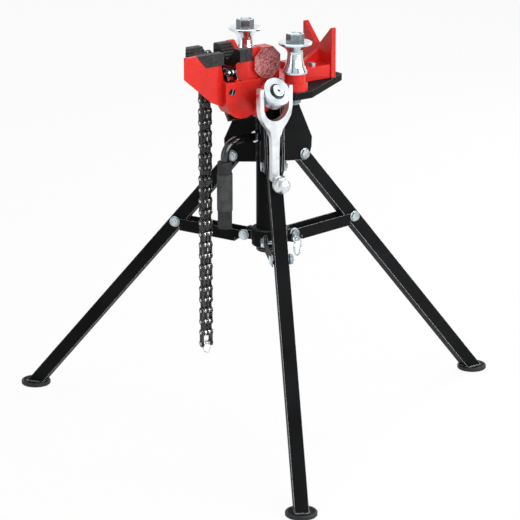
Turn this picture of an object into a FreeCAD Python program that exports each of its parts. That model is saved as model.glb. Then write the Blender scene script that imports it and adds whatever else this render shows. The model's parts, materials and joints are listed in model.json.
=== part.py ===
import FreeCAD, Part
import math
import os

# Tripod pipe vise stand. Millimetres. The origin is on the floor under the post's axis, +Z is up and
# the clamped pipe would lie along X. The vise is at -X, the pipe rest at +X, the crank at -Y.

# ---------------------------------------------------------------- driving dimensions: tripod
LEG_ANGLES = {"rear": 0, "left": 120, "front": 240}
SPLAY = 40.4              # leg angle from the vertical when the stand is open
FOLDED_SPLAY = 2.0        # leg angle from the vertical when it is folded
LEG_SIDE, LEG_WALL = 30.0, 2.5
PIVOT_R, PIVOT_Z = 80.0, 612.0
LEG_TOP = 17.0            # leg beyond its pivot
BRACE_ON_LEG = 222.0      # pivot to brace bolt, along the leg
LUG_R, LUG_Z = 54.0, 432.0
BOLT_R, RUN_FIT = 5.0, 0.05
HEX_CC, HEX_H = 22.0, 7.0 # heads and nuts of the linkage bolts: across corners, height
BOLT_END = 2.5            # thread that stands out of a nut
BUSH_R = 8.5              # spacer tube on a pivot bolt, inside the leg
FOOT_R, FOOT_H, FOOT_SOLE = 34.0, 10.0, 5.0
FOOT_PLATE_R, FOOT_PLATE_H = 30.0, 4.0
POST_R, POST_WALL, POST_BOTTOM, PLATE_Z = 30.0, 3.0, 405.0, 766.0
SOCKET_Z, SOCKET_T = 742.0, 9.0
GUSSET_IN, GUSSET_T = 16.2, 5.0
GUSSET_OUTLINE = [(18, 742), (58, 742), (101, 648), (100, 626), (94, 604), (84, 597), (18, 604)]
CHANNEL_IN, CHANNEL_T, CHANNEL_UP, CHANNEL_DOWN = 16.2, 2.5, 8.0, 19.5
CHANNEL_END_R = 11.0
COLLAR_GAP, COLLAR_R, COLLAR_H = 0.4, 40.0, 40.0
LUG_IN, LUG_OUT, LUG_END_R = 11.0, 15.5, 10.0
LOCK_ANGLE, LOCK_PIN_R, LOCK_BOSS_R = 300.0, 4.0, 9.0
PULL_RING_R, PULL_WIRE = 19.0, 2.2
PULL_X = 68.0             # the eye that the pull ring hangs in

# ---------------------------------------------------------------- driving dimensions: head
PLATE_T, DECK_T = 16.0, 18.0
DECK_Z = PLATE_Z + PLATE_T
BODY_HALF = 48.0          # half width of the vise casting
BODY_X0, BODY_X1, BODY_TOP = -262.0, -66.0, 878.0
BODY_BOTTOM = 758.0
TOE_Z, HEEL_X, HEEL_Z = 832.0, -190.0, 771.0   # the front edge of the sloping underside
UNDERSIDE_RISE = 42.0     # how much higher the sloping underside is at the rear
JAW_APEX, JAW_SEAT, JAW_BOTTOM, BODY_APEX = 847.0, 850.0, 836.0, 838.0
JAW_HALF, JAW_RAKE = 50.0, 0.85
TEETH, TOOTH_HALF = 5, 1.5
WIDE, OPEN_TOP = 110.0, 920.0   # cuts that are open at the sides and at the top end here
JAWS = {"left": (-228.0, -158.0), "right": (-116.0, -82.0)}
SLOT_X, SLOT_FLOOR_X = (-158.0, -116.0), -150.0
END_SKEW = 70.0           # how much further in the rear corner of the overhang is than the front one
LOBE_X, LOBE_Z, LOBE_R, LOBE_Y = -118.0, 775.0, 45.0, -64.0
ROLL_PIN_R, ROLL_PIN_X, ROLL_PIN_Z = 7.5, -147.0, 792.0
OCTAGON_X, OCTAGON_Z, OCTAGON_R, OCTAGON_Y = -47.0, 843.0, 37.0, -56.0
SPOOL_Y, SPOOL_BASE, SPOOL_R = 92.0, 820.0, 37.0
SPOOL_TOP = 889.0
SPOOL_BOLT_R, SPOOL_HEX, SPOOL_HEX_H = 8.0, 40.0, 18.0
SPOOL_HEX_TURN = 26.0     # how the tightened heads ended up
REST_X, REST_APEX, REST_TOP, REST_HALF = (130.0, 142.0), 846.0, 894.0, 52.0
REST_FOOT_X, REST_FOOT_TOP = 62.0, 812.0

# ---------------------------------------------------------------- driving dimensions: crank and chain
HUB = FreeCAD.Vector(-74, -118, 789)
SCREW_TILT = 35.0         # the screw leans back and down into the casting
HUB_R, HUB_T, HUB_BOLT_R, SCREW_R = 32.0, 24.0, 13.5, 8.0
CROSS_R = 6.0             # pin on which the lever hinges in the hub
PRONG_IN, PRONG_OUT, PRONG_T = 33.2, 43.0, 15.0
LEVER_L, BALL_R = 195.0, 20.0
CHAIN_X, PITCH = -133.0, 25.4
PLATE_HALF, LINK_T, LINK_GAP = 8.5, 2.4, 0.15
ROLLER_R, ROLLER_HALF, CHAIN_PIN_R, PIN_HALF = 6.5, 8.0, 3.2, 15.0
LEAD_PINS = [(-44.2, 804.1), (-35.5, 828.0), (-10.2, 825.8), (15.1, 828.0), (33.1, 846.0), (58.0, 851.0)]
END_RING_R, END_WIRE = 14.0, 1.6
TAIL_LINKS = {"upper": 8, "middle": 8, "lower": 10}

# ---------------------------------------------------------------- driving dimensions: carry handle
BAR_R, BAR_Z, BAR_X, BAR_BEND = 9.0, 664.0, -122.0, 36.0
BAR_NUT_CC, BAR_NUT_H, BAR_NUT_GAP = 28.0, 9.0, 3.0
GRIP_R, GRIP_Z0, GRIP_L, GRIP_ROUND = 17.5, 476.0, 145.0, 4.0

os.makedirs("parts", exist_ok=True)
Vec = FreeCAD.Vector
X, Y, Z = Vec(1, 0, 0), Vec(0, 1, 0), Vec(0, 0, 1)


# ---------------------------------------------------------------- helpers
def box(x0, x1, y0, y1, z0, z1):
    return Part.makeBox(x1 - x0, y1 - y0, z1 - z0, Vec(x0, y0, z0))


def rod(radius, start, end):
    """A round bar between two points."""
    start, end = Vec(*start), Vec(*end)
    return Part.makeCylinder(radius, (end - start).Length, start, end - start)


def prism(corners, plane, low, high):
    """A closed outline in the plane "xy", "xz" or "yz", extruded from low to high."""
    place = {
        "xy": lambda a, b: Vec(a, b, low),
        "xz": lambda a, b: Vec(a, low, b),
        "yz": lambda a, b: Vec(low, a, b),
    }[plane]
    normal = {"xy": Z, "xz": Y, "yz": X}[plane]
    points = [place(a, b) for a, b in corners]
    wire = Part.makePolygon(points + points[:1])
    return Part.Face(wire).extrude(normal * (high - low))


def turned(profile, axis_point, axis=Z):
    """A (radius, height) outline turned about an axis through axis_point."""
    points = [Vec(r, 0, h) for r, h in profile]
    face = Part.Face(Part.makePolygon(points + points[:1]))
    solid = face.revolve(Vec(0, 0, 0), Z, 360)
    solid.Placement = FreeCAD.Placement(Vec(*axis_point), FreeCAD.Rotation(Z, axis))
    return solid


def hexagon(corner_to_corner, height, base, axis=Z):
    """A hexagonal nut or bolt head standing on base, along axis."""
    radius = corner_to_corner / 2
    points = [Vec(radius * math.cos(math.radians(a)), radius * math.sin(math.radians(a)), 0)
              for a in range(0, 360, 60)]
    solid = Part.Face(Part.makePolygon(points + points[:1])).extrude(Z * height)
    dome = Part.makeCone(radius + height, radius * 0.9, height * 1.12, Vec(0, 0, -0.12 * height))
    solid = solid.common(dome)
    solid.Placement = FreeCAD.Placement(Vec(*base), FreeCAD.Rotation(Z, axis))
    return solid


def fused(*solids):
    return solids[0].multiFuse(list(solids[1:])).removeSplitter()


def turn_z(shape, degrees):
    """A copy turned about the post's axis."""
    copy = shape.copy()
    copy.rotate(Vec(0, 0, 0), Z, degrees)
    return copy


def save(name, *solids):
    """One STEP file per node; several solids are one group."""
    shapes = []
    for solid in solids:
        shapes += solid.Solids
    shape = shapes[0] if len(shapes) == 1 else Part.makeCompound(shapes)
    shape.exportStep(f"parts/{name}.step")
    if not shape.isValid():
        print("invalid shape:", name)


def cross_bolt(x, z, grip_half):
    """A hex bolt and nut across Y, clamping what lies between -grip_half and grip_half."""
    shank = rod(BOLT_R, (x, -grip_half, z), (x, grip_half + HEX_H + BOLT_END, z))
    head = hexagon(HEX_CC, HEX_H, (x, -grip_half, z), Y * -1)
    nut = hexagon(HEX_CC, HEX_H, (x, grip_half, z), Y)
    return fused(shank, head, nut)


# ---------------------------------------------------------------- tripod: leg, foot, gussets
sin_s, cos_s = math.sin(math.radians(SPLAY)), math.cos(math.radians(SPLAY))
sin_f, cos_f = math.sin(math.radians(FOLDED_SPLAY)), math.cos(math.radians(FOLDED_SPLAY))
foot_x = PIVOT_R + (PIVOT_Z - FOOT_SOLE) * sin_s / cos_s
brace_end = (PIVOT_R + BRACE_ON_LEG * sin_s, PIVOT_Z - BRACE_ON_LEG * cos_s)
brace_length = math.hypot(brace_end[0] - LUG_R, brace_end[1] - LUG_Z)
brace_slope = math.degrees(math.atan2(brace_end[1] - LUG_Z, brace_end[0] - LUG_R))
folded_end = (PIVOT_R + BRACE_ON_LEG * sin_f, PIVOT_Z - BRACE_ON_LEG * cos_f)
folded_rise = math.sqrt(brace_length ** 2 - (folded_end[0] - LUG_R) ** 2)
collar_travel = folded_end[1] + folded_rise - LUG_Z
folded_slope = -math.degrees(math.atan2(folded_rise, folded_end[0] - LUG_R))
print("collar travel", round(collar_travel, 3), "leg fold", round(SPLAY - FOLDED_SPLAY, 3),
      "brace fold", round(brace_slope - folded_slope, 3), "foot x", round(foot_x, 2))


def tilt(shape, x, z, degrees):
    """Turn a shape about the Y axis through (x, z); positive lifts the outer end of a level bar."""
    shape.rotate(Vec(x, 0, z), Y, -degrees)
    return shape


def make_leg():
    """Square tube from just above its pivot to the foot plate, cut level at the foot."""
    half = LEG_SIDE / 2
    inner = half - LEG_WALL
    length = PIVOT_Z / cos_s + 60
    tube = box(-half, half, -half, half, -length, LEG_TOP)
    tube = tube.cut(box(-inner, inner, -inner, inner, -length, LEG_TOP - LEG_WALL))
    holes = rod(BOLT_R + RUN_FIT, (0, -half - 1, 0), (0, half + 1, 0))
    holes = holes.fuse(rod(BOLT_R + 0.4, (0, -half - 1, -BRACE_ON_LEG), (0, half + 1, -BRACE_ON_LEG)))
    tube = tube.cut(holes)
    tube.translate(Vec(PIVOT_R, 0, PIVOT_Z))
    tilt(tube, PIVOT_R, PIVOT_Z, SPLAY)
    floor_cut = box(0, 900, -60, 60, -200, FOOT_SOLE + FOOT_PLATE_H)
    return tube.cut(floor_cut)


def make_pivot_bush():
    """Spacer tube inside the leg, between its two walls, on the pivot bolt."""
    inner = LEG_SIDE / 2 - LEG_WALL
    sleeve = rod(BUSH_R, (PIVOT_R, -inner, PIVOT_Z), (PIVOT_R, inner, PIVOT_Z))
    return sleeve.cut(rod(BOLT_R + RUN_FIT, (PIVOT_R, -inner, PIVOT_Z), (PIVOT_R, inner, PIVOT_Z)))


def make_foot_plate():
    return rod(FOOT_PLATE_R, (foot_x, 0, FOOT_SOLE), (foot_x, 0, FOOT_SOLE + FOOT_PLATE_H))


def make_foot_pad():
    """Rubber cup with the steel foot plate sunk in it and a rounded rim."""
    profile = [(0, 0), (FOOT_R - 2, 0), (FOOT_R, 2), (FOOT_R, FOOT_H - 2), (FOOT_R - 1.5, FOOT_H),
               (FOOT_PLATE_R, FOOT_H), (FOOT_PLATE_R, FOOT_SOLE), (0, FOOT_SOLE)]
    return turned(profile, (foot_x, 0, 0))


def make_gusset():
    """Two plates welded to the post, one on each side of the leg's top."""
    plates = []
    for low in (GUSSET_IN, -GUSSET_IN - GUSSET_T):
        high = low + GUSSET_T
        plate = prism(GUSSET_OUTLINE, "xz", low, high)
        plate = plate.cut(rod(POST_R, (0, 0, 500), (0, 0, 800)))
        for side in (60, -60):
            bar_way = rod(BAR_R + 0.5, (0, 0, BAR_Z), (60, 0, BAR_Z))
            plate = plate.cut(turn_z(bar_way, side))
        plate = plate.cut(rod(BOLT_R, (PIVOT_R, low - 1, PIVOT_Z), (PIVOT_R, high + 1, PIVOT_Z)))
        plates.append(plate)
    return plates


def make_brace():
    """Channel with its open side up; the web stops short of the collar and of the leg's path."""
    outer = CHANNEL_IN + CHANNEL_T
    rounded = box(0, brace_length, -outer, outer, -CHANNEL_DOWN, CHANNEL_UP)
    for end in (0, brace_length):
        rounded = rounded.fuse(rod(CHANNEL_END_R, (end, -outer, 0), (end, outer, 0)))
    low_cut_in = box(-20, 22, -outer, outer, -30, -CHANNEL_END_R)
    low_cut_out = box(brace_length - 12, brace_length + 20, -outer, outer, -30, -CHANNEL_END_R)
    rounded = rounded.cut(low_cut_in).cut(low_cut_out).removeSplitter()
    inside = box(-30, brace_length + 30, -CHANNEL_IN, CHANNEL_IN, CHANNEL_T - CHANNEL_DOWN, 40)
    no_web_in = box(-30, 22, -CHANNEL_IN, CHANNEL_IN, -40, 40)
    no_web_out = box(brace_length - 65, brace_length + 30, -CHANNEL_IN, CHANNEL_IN, -40, 40)
    channel = rounded.cut(inside).cut(no_web_in).cut(no_web_out)
    channel = channel.cut(rod(BOLT_R + RUN_FIT, (0, -30, 0), (0, 30, 0)))
    channel = channel.cut(rod(BOLT_R, (brace_length, -30, 0), (brace_length, 30, 0)))
    channel.translate(Vec(LUG_R, 0, LUG_Z))
    return tilt(channel, LUG_R, LUG_Z, brace_slope)


def make_brace_end_bolt():
    """Head and nut of the bolt to the leg; the open pivot of the linkage runs between them."""
    outer = CHANNEL_IN + CHANNEL_T
    x, z = brace_end
    head = hexagon(HEX_CC, HEX_H, (x, -outer, z), Y * -1)
    nut = hexagon(HEX_CC, HEX_H, (x, outer, z), Y)
    thread_end = outer + HEX_H + BOLT_END
    return [
        head.fuse(rod(BOLT_R, (x, -outer, z), (x, -CHANNEL_IN, z))),
        nut.fuse(rod(BOLT_R, (x, CHANNEL_IN, z), (x, thread_end, z))),
    ]


def build_tripod():
    parts = {
        "leg": [make_leg()],
        "pivot_bush": [make_pivot_bush()],
        "foot_plate": [make_foot_plate()],
        "foot_pad": [make_foot_pad()],
        "brace": [make_brace()],
        "brace_bolt": make_brace_end_bolt(),
    }
    for place, angle in LEG_ANGLES.items():
        for kind, solids in parts.items():
            save(f"{kind}_{place}", *[turn_z(s, angle) for s in solids])
    save("leg_gussets", *[turn_z(plate, a) for a in LEG_ANGLES.values() for plate in make_gusset()])
    pivot_bolt = cross_bolt(PIVOT_R, PIVOT_Z, GUSSET_IN + GUSSET_T)
    save("leg_pivot_bolts", *[turn_z(pivot_bolt, a) for a in LEG_ANGLES.values()])
    collar_bolt = cross_bolt(LUG_R, LUG_Z, CHANNEL_IN + CHANNEL_T + 0.3)
    save("collar_bolts", *[turn_z(collar_bolt, a) for a in LEG_ANGLES.values()])


# ---------------------------------------------------------------- post, collar and lock pin
def build_post():
    tube = rod(POST_R, (0, 0, POST_BOTTOM), (0, 0, PLATE_Z))
    tube = tube.cut(rod(POST_R - POST_WALL, (0, 0, POST_BOTTOM), (0, 0, PLATE_Z)))
    width = LOCK_PIN_R + 0.6
    slot = box(20, 40, -width, width, LUG_Z, LUG_Z + collar_travel)
    slot = slot.fuse(rod(width, (20, 0, LUG_Z), (40, 0, LUG_Z)))
    slot = slot.fuse(rod(width, (20, 0, LUG_Z + collar_travel), (40, 0, LUG_Z + collar_travel)))
    bar_hole = rod(BAR_R, (-20, 0, BAR_Z), (-40, 0, BAR_Z))
    save("post_tube", tube.cut(turn_z(slot, LOCK_ANGLE)).cut(bar_hole))
    flange, spigot, inner = POST_BOTTOM - 6, POST_BOTTOM + 14, POST_R - POST_WALL
    plug = [(0, flange), (POST_R - 2, flange), (POST_R, flange + 2), (POST_R, POST_BOTTOM),
            (inner, POST_BOTTOM), (inner, spigot), (0, spigot)]
    save("post_plug", turned(plug, (0, 0, 0)))
    outer = POST_R + SOCKET_T
    socket = [(POST_R, SOCKET_Z), (outer - 3, SOCKET_Z), (outer, SOCKET_Z + 6),
              (outer, PLATE_Z), (POST_R, PLATE_Z)]
    save("post_socket", turned(socket, (0, 0, 0)))


def build_collar():
    bore = POST_R + COLLAR_GAP
    low, high = LUG_Z - COLLAR_H / 2, LUG_Z + COLLAR_H / 2
    profile = [(bore, low), (COLLAR_R - 1.5, low), (COLLAR_R, low + 1.5), (COLLAR_R, high - 1.5),
               (COLLAR_R - 1.5, high), (bore, high)]
    collar = turned(profile, (0, 0, 0))
    for angle in LEG_ANGLES.values():
        for near in (LUG_IN, -LUG_OUT):
            lug = box(32, LUG_R, near, near + LUG_OUT - LUG_IN, LUG_Z - LUG_END_R, LUG_Z + LUG_END_R)
            lug = lug.fuse(rod(LUG_END_R, (LUG_R, near, LUG_Z), (LUG_R, near + LUG_OUT - LUG_IN, LUG_Z)))
            collar = collar.fuse(turn_z(lug, angle))
        collar = collar.cut(turn_z(rod(BOLT_R, (LUG_R, -20, LUG_Z), (LUG_R, 20, LUG_Z)), angle))
    boss = rod(LOCK_BOSS_R, (34, 0, LUG_Z), (58, 0, LUG_Z))
    collar = collar.fuse(turn_z(boss, LOCK_ANGLE))
    collar = collar.cut(rod(bore, (0, 0, low - 5), (0, 0, high + 5)))
    pin_bore = rod(LOCK_PIN_R + RUN_FIT, (20, 0, LUG_Z), (60, 0, LUG_Z))
    save("slide_collar", collar.cut(turn_z(pin_bore, LOCK_ANGLE)).removeSplitter())


def build_lock_pin():
    """Plunger through the collar's boss, with a flat eye and a wire pull ring at its outer end."""
    pin = rod(LOCK_PIN_R, (26.5, 0, LUG_Z), (58.4, 0, LUG_Z))
    knob = rod(6.5, (58.4, 0, LUG_Z), (63, 0, LUG_Z))
    eye = rod(5.5, (PULL_X, -1.5, LUG_Z), (PULL_X, 1.5, LUG_Z))
    neck = box(60, PULL_X, -1.5, 1.5, LUG_Z - 4, LUG_Z + 4)
    eye_hole = rod(PULL_WIRE + 0.3, (PULL_X, -5, LUG_Z), (PULL_X, 5, LUG_Z))
    pin = fused(pin, knob, eye, neck).cut(eye_hole)
    save("lock_pin", turn_z(pin, LOCK_ANGLE))
    ring = Part.makeTorus(PULL_RING_R, PULL_WIRE, Vec(PULL_X, 0, LUG_Z - PULL_RING_R), X)
    save("pull_ring", turn_z(ring, LOCK_ANGLE))


# ---------------------------------------------------------------- carry handle
def build_handle():
    corner = BAR_X + BAR_BEND
    middle = BAR_BEND * math.cos(math.radians(45))
    start, bend_start = Vec(-20, 0, BAR_Z), Vec(corner, 0, BAR_Z)
    bend_middle = Vec(corner - middle, 0, BAR_Z - BAR_BEND + middle)
    bend_end, end = Vec(BAR_X, 0, BAR_Z - BAR_BEND), Vec(BAR_X, 0, GRIP_Z0 - 3)
    path = Part.Wire([
        Part.LineSegment(start, bend_start).toShape(),
        Part.Arc(bend_start, bend_middle, bend_end).toShape(),
        Part.LineSegment(bend_end, end).toShape(),
    ])
    section = Part.Wire([Part.makeCircle(BAR_R, start, X)])
    bar = path.makePipeShell([section], True, False)
    bar = bar.cut(rod(POST_R - POST_WALL, (0, 0, BAR_Z - 20), (0, 0, BAR_Z + 20)))
    save("handle_bar", bar)
    nut = hexagon(BAR_NUT_CC, BAR_NUT_H, (-POST_R - BAR_NUT_GAP, 0, BAR_Z), X * -1)
    save("handle_nut", nut.cut(rod(BAR_R, (-20, 0, BAR_Z), (-60, 0, BAR_Z))))
    top = GRIP_Z0 + GRIP_L
    edge = GRIP_R - GRIP_ROUND
    profile = [(0, GRIP_Z0 - 3), (BAR_R, GRIP_Z0 - 3), (BAR_R, top), (edge, top), (GRIP_R, top - GRIP_ROUND),
               (GRIP_R, GRIP_Z0), (edge, GRIP_Z0 - 6), (0, GRIP_Z0 - 6)]
    save("handle_grip", turned(profile, (BAR_X, 0, 0)))


# ---------------------------------------------------------------- head: plate, casting, jaws
PLATE_OUTLINE = [(178, 28), (24, 122), (-20, 122), (-44, 70),
                 (-44, -70), (-20, -122), (24, -122), (178, -28)]
DECK_BOLTS = [(24, 52), (24, -52), (-24, 60), (-24, -60)]
REST_BOLTS = [(92, 30), (92, -30)]


def along(w, t, x=0.0):
    """A point in the screw's frame: t along the screw into the casting, w square to it and up."""
    s, c = math.sin(math.radians(SCREW_TILT)), math.cos(math.radians(SCREW_TILT))
    return Vec(HUB.x + x, HUB.y + t * c + w * s, HUB.z - t * s + w * c)


def screw_box(x0, x1, w0, w1, t0, t1):
    """A box in the screw's frame."""
    corners = [along(w0, t0), along(w1, t0), along(w1, t1), along(w0, t1)]
    outline = [(p.y, p.z) for p in corners]
    return prism(outline, "yz", HUB.x + x0, HUB.x + x1)


def screw_rod(radius, t0, t1, x=0.0, w=0.0):
    return rod(radius, tuple(along(w, t0, x)), tuple(along(w, t1, x)))


def skew_cut(x_front):
    """What lies beyond the slanting outer end of the overhang."""
    shift_per_mm = END_SKEW / (2 * BODY_HALF)
    beyond = x_front - 90
    near_x = x_front - shift_per_mm * (WIDE - BODY_HALF)
    far_x = x_front + shift_per_mm * (WIDE + BODY_HALF)
    corners = [(beyond, -WIDE), (near_x, -WIDE), (far_x, WIDE), (beyond, WIDE)]
    return prism(corners, "xy", BODY_BOTTOM - 50, OPEN_TOP)


def underside_cut():
    """What lies below the overhang's underside, a plane that also rises towards the rear."""
    fall = (TOE_Z - HEEL_Z) / (HEEL_X - BODY_X0)
    rise = UNDERSIDE_RISE / (2 * BODY_HALF)
    start, end = BODY_X0 - 10, HEEL_X + 65
    drop = rise * (WIDE - BODY_HALF)
    corners = [(start, TOE_Z + fall * 10), (end, TOE_Z - fall * (end - BODY_X0)), (end, 500), (start, 500)]
    points = [Vec(x, -WIDE, z - drop) for x, z in corners]
    face = Part.Face(Part.makePolygon(points + points[:1]))
    return face.extrude(Vec(0, 2 * WIDE, 2 * WIDE * rise))


def jaw_envelope(side):
    """The seat of a jaw, open at the top; the left jaw has a raked outer end."""
    x0, x1 = JAWS[side]
    outline = [(-WIDE, OPEN_TOP), (-WIDE, JAW_SEAT), (-40, JAW_SEAT), (-28, JAW_BOTTOM), (28, JAW_BOTTOM),
               (40, JAW_SEAT), (WIDE, JAW_SEAT), (WIDE, OPEN_TOP)]
    seat = prism(outline, "yz", x0 - 30, x1)
    rake = JAW_RAKE if side == "left" else 0.0
    lean = [(x0 - rake * (OPEN_TOP - BODY_TOP), OPEN_TOP), (x0 + rake * (BODY_TOP - JAW_BOTTOM), JAW_BOTTOM),
            (x1, JAW_BOTTOM), (x1, OPEN_TOP)]
    return seat.common(prism(lean, "xz", -WIDE, WIDE))


def make_jaw(side):
    """Hardened V jaw with teeth along the pipe."""
    x0, x1 = JAWS[side]
    top = BODY_TOP - 1
    opening = top - JAW_APEX
    keep = [(-JAW_HALF, JAW_BOTTOM - 1), (-JAW_HALF, top - 3), (-JAW_HALF + 3, top), (-opening, top),
            (0, JAW_APEX), (opening, top), (JAW_HALF - 3, top), (JAW_HALF, top - 3),
            (JAW_HALF, JAW_BOTTOM - 1)]
    jaw = jaw_envelope(side).common(prism(keep, "yz", x0 - 40, x1))
    for y in (-JAW_HALF, JAW_HALF):
        middle = (x0 + x1) / 2
        jaw = jaw.cut(box(middle - 0.8, middle + 0.8, y - 1, y + 1, JAW_SEAT - 20, BODY_TOP + 1))
    if side == "left":
        jaw = jaw.cut(skew_cut(BODY_X0 + 2))
    for step in range(1, TEETH + 1):
        offset = step * opening / (TEETH + 0.6)
        for y in (-offset, offset):
            z = JAW_APEX + offset
            low, high = z - TOOTH_HALF, z + TOOTH_HALF
            jaw = jaw.cut(box(x0 - 40, x1 + 1, y - TOOTH_HALF, y + TOOTH_HALF, low, high))
    return jaw


def build_vise_body():
    """One iron casting: V block, chain slot, screw boss, saddle, deck and bender bosses."""
    side = [(BODY_X0, TOE_Z), (BODY_X0, BODY_TOP - 6), (BODY_X0 + 6, BODY_TOP), (BODY_X1, BODY_TOP),
            (BODY_X1, BODY_BOTTOM), (HEEL_X + 30, BODY_BOTTOM), (HEEL_X, HEEL_Z)]
    block = prism(side, "xz", -BODY_HALF, BODY_HALF).cut(skew_cut(BODY_X0)).cut(underside_cut())
    lobe = rod(LOBE_R, (LOBE_X, LOBE_Y, LOBE_Z), (LOBE_X, -28, LOBE_Z))
    lobe = lobe.fuse(box(LOBE_X - LOBE_R, -72, LOBE_Y, -48, LOBE_Z, 812))
    boss = screw_rod(18, 34, 86)
    saddle = box(-68, -8, -46, 46, DECK_Z, 832)
    turns = [math.radians(a) for a in range(22, 382, 45)]
    flats = [(OCTAGON_X + OCTAGON_R * math.cos(a), OCTAGON_Z + OCTAGON_R * math.sin(a)) for a in turns]
    octagon = prism(flats, "xz", OCTAGON_Y, -26)
    deck_outline = [(-68, -46), (-28, -88), (28, -88), (50, -50), (50, 50), (28, 88), (-28, 88), (-68, 46)]
    deck = prism(deck_outline, "xy", DECK_Z, DECK_Z + DECK_T)
    casting = block.multiFuse([lobe, boss, saddle, octagon, deck])
    for sign in (-1, 1):
        y = sign * SPOOL_Y
        casting = casting.fuse(rod(28, (0, y, DECK_Z), (0, y, DECK_Z + DECK_T)))
        casting = casting.fuse(rod(23, (0, y, DECK_Z), (0, y, SPOOL_BASE)))
        casting = casting.cut(rod(SPOOL_BOLT_R, (0, y, DECK_Z - 1), (0, y, SPOOL_BASE + 1)))
    depth = OPEN_TOP - BODY_APEX
    groove = [(0, BODY_APEX), (depth, OPEN_TOP), (-depth, OPEN_TOP)]
    casting = casting.cut(prism(groove, "yz", BODY_X0 - 1, BODY_X1 + 1))
    for jaw in JAWS:
        casting = casting.cut(jaw_envelope(jaw))
    slot = [(-WIDE, 816), (16.5, 816), (36.5, 836), (WIDE, 836), (WIDE, OPEN_TOP), (-WIDE, OPEN_TOP)]
    casting = casting.cut(prism(slot, "yz", SLOT_FLOOR_X, SLOT_X[1]))
    sloping_wall = [(SLOT_X[0], OPEN_TOP), (SLOT_X[0], 846), (SLOT_FLOOR_X, 822), (SLOT_FLOOR_X, OPEN_TOP)]
    casting = casting.cut(prism(sloping_wall, "xz", -WIDE, 60))
    for x, into in ((SLOT_FLOOR_X, -26), (SLOT_X[1], 24)):
        flare = [(x - 0.5 * into, -28), (x - 0.5 * into, -70), (x + into, -70), (x + into, -49)]
        casting = casting.cut(prism(flare, "xy", 812, OPEN_TOP))
    casting = casting.cut(box(SLOT_FLOOR_X, SLOT_X[1], -58, -30, 786, 818))
    casting = casting.cut(screw_box(-76, -42, 38, 66, 40, 112))
    casting = casting.cut(screw_box(-76, 16, -20, 66, 86, 112))
    casting = casting.cut(screw_rod(12, 30, 90))
    pin_floor = LOBE_Y + 7
    pin_hole = rod(ROLL_PIN_R, (ROLL_PIN_X, LOBE_Y - 6, ROLL_PIN_Z), (ROLL_PIN_X, pin_floor, ROLL_PIN_Z))
    for x, y in DECK_BOLTS:
        casting = casting.cut(rod(BOLT_R, (x, y, DECK_Z - 1), (x, y, DECK_Z + DECK_T + 1)))
    save("vise_body", casting.cut(pin_hole))
    pin = rod(ROLL_PIN_R, (ROLL_PIN_X, LOBE_Y - 1.5, ROLL_PIN_Z), (ROLL_PIN_X, pin_floor, ROLL_PIN_Z))
    groove_x, groove_z = (ROLL_PIN_X - 1.1, ROLL_PIN_X + 1.1), (ROLL_PIN_Z - 10, ROLL_PIN_Z + 10)
    screwdriver_slot = box(*groove_x, LOBE_Y - 3, LOBE_Y + 2, *groove_z)
    screwdriver_slot.rotate(Vec(ROLL_PIN_X, LOBE_Y, ROLL_PIN_Z), Y, 20)
    save("roll_pin", pin.cut(screwdriver_slot))
    for side_name in JAWS:
        save(f"v_jaw_{side_name}", make_jaw(side_name))


def build_plate_and_rest():
    plate = prism(PLATE_OUTLINE, "xy", PLATE_Z, DECK_Z)
    for sign in (-1, 1):
        y = sign * SPOOL_Y
        plate = plate.cut(rod(SPOOL_BOLT_R, (0, y, PLATE_Z - 1), (0, y, DECK_Z + 1)))
    for x, y in DECK_BOLTS + REST_BOLTS:
        plate = plate.cut(rod(BOLT_R, (x, y, PLATE_Z - 1), (x, y, DECK_Z + 1)))
    save("base_plate", plate)

    half = REST_TOP - REST_APEX
    wall = [(-REST_HALF, DECK_Z), (-REST_HALF, REST_TOP - 2), (-REST_HALF + 2, REST_TOP), (-half, REST_TOP),
            (0, REST_APEX), (half, REST_TOP), (REST_HALF - 2, REST_TOP), (REST_HALF, REST_TOP - 2),
            (REST_HALF, DECK_Z)]
    foot_half = REST_HALF - 4
    rest = prism(wall, "yz", *REST_X)
    rest = rest.fuse(box(REST_FOOT_X, REST_X[0], -foot_half, foot_half, DECK_Z, REST_FOOT_TOP))
    rib = [(REST_FOOT_X + 20, REST_FOOT_TOP), (REST_X[0], REST_FOOT_TOP), (REST_X[0], REST_APEX - 6)]
    rest = rest.fuse(prism(rib, "xz", -6, 6))
    for x, y in REST_BOLTS:
        rest = rest.cut(rod(BOLT_R, (x, y, DECK_Z - 1), (x, y, REST_FOOT_TOP + 1)))
    save("pipe_rest", rest.removeSplitter())

    bolts = []
    for x, y in DECK_BOLTS + REST_BOLTS:
        head_z = REST_FOOT_TOP if (x, y) in REST_BOLTS else DECK_Z + DECK_T
        shank = rod(BOLT_R, (x, y, PLATE_Z - 12), (x, y, head_z))
        head = hexagon(18, 6.5, (x, y, head_z))
        nut = hexagon(18, 8, (x, y, PLATE_Z), Z * -1)
        bolts.append(fused(shank, head, nut))
    save("head_bolts", *bolts)


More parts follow.
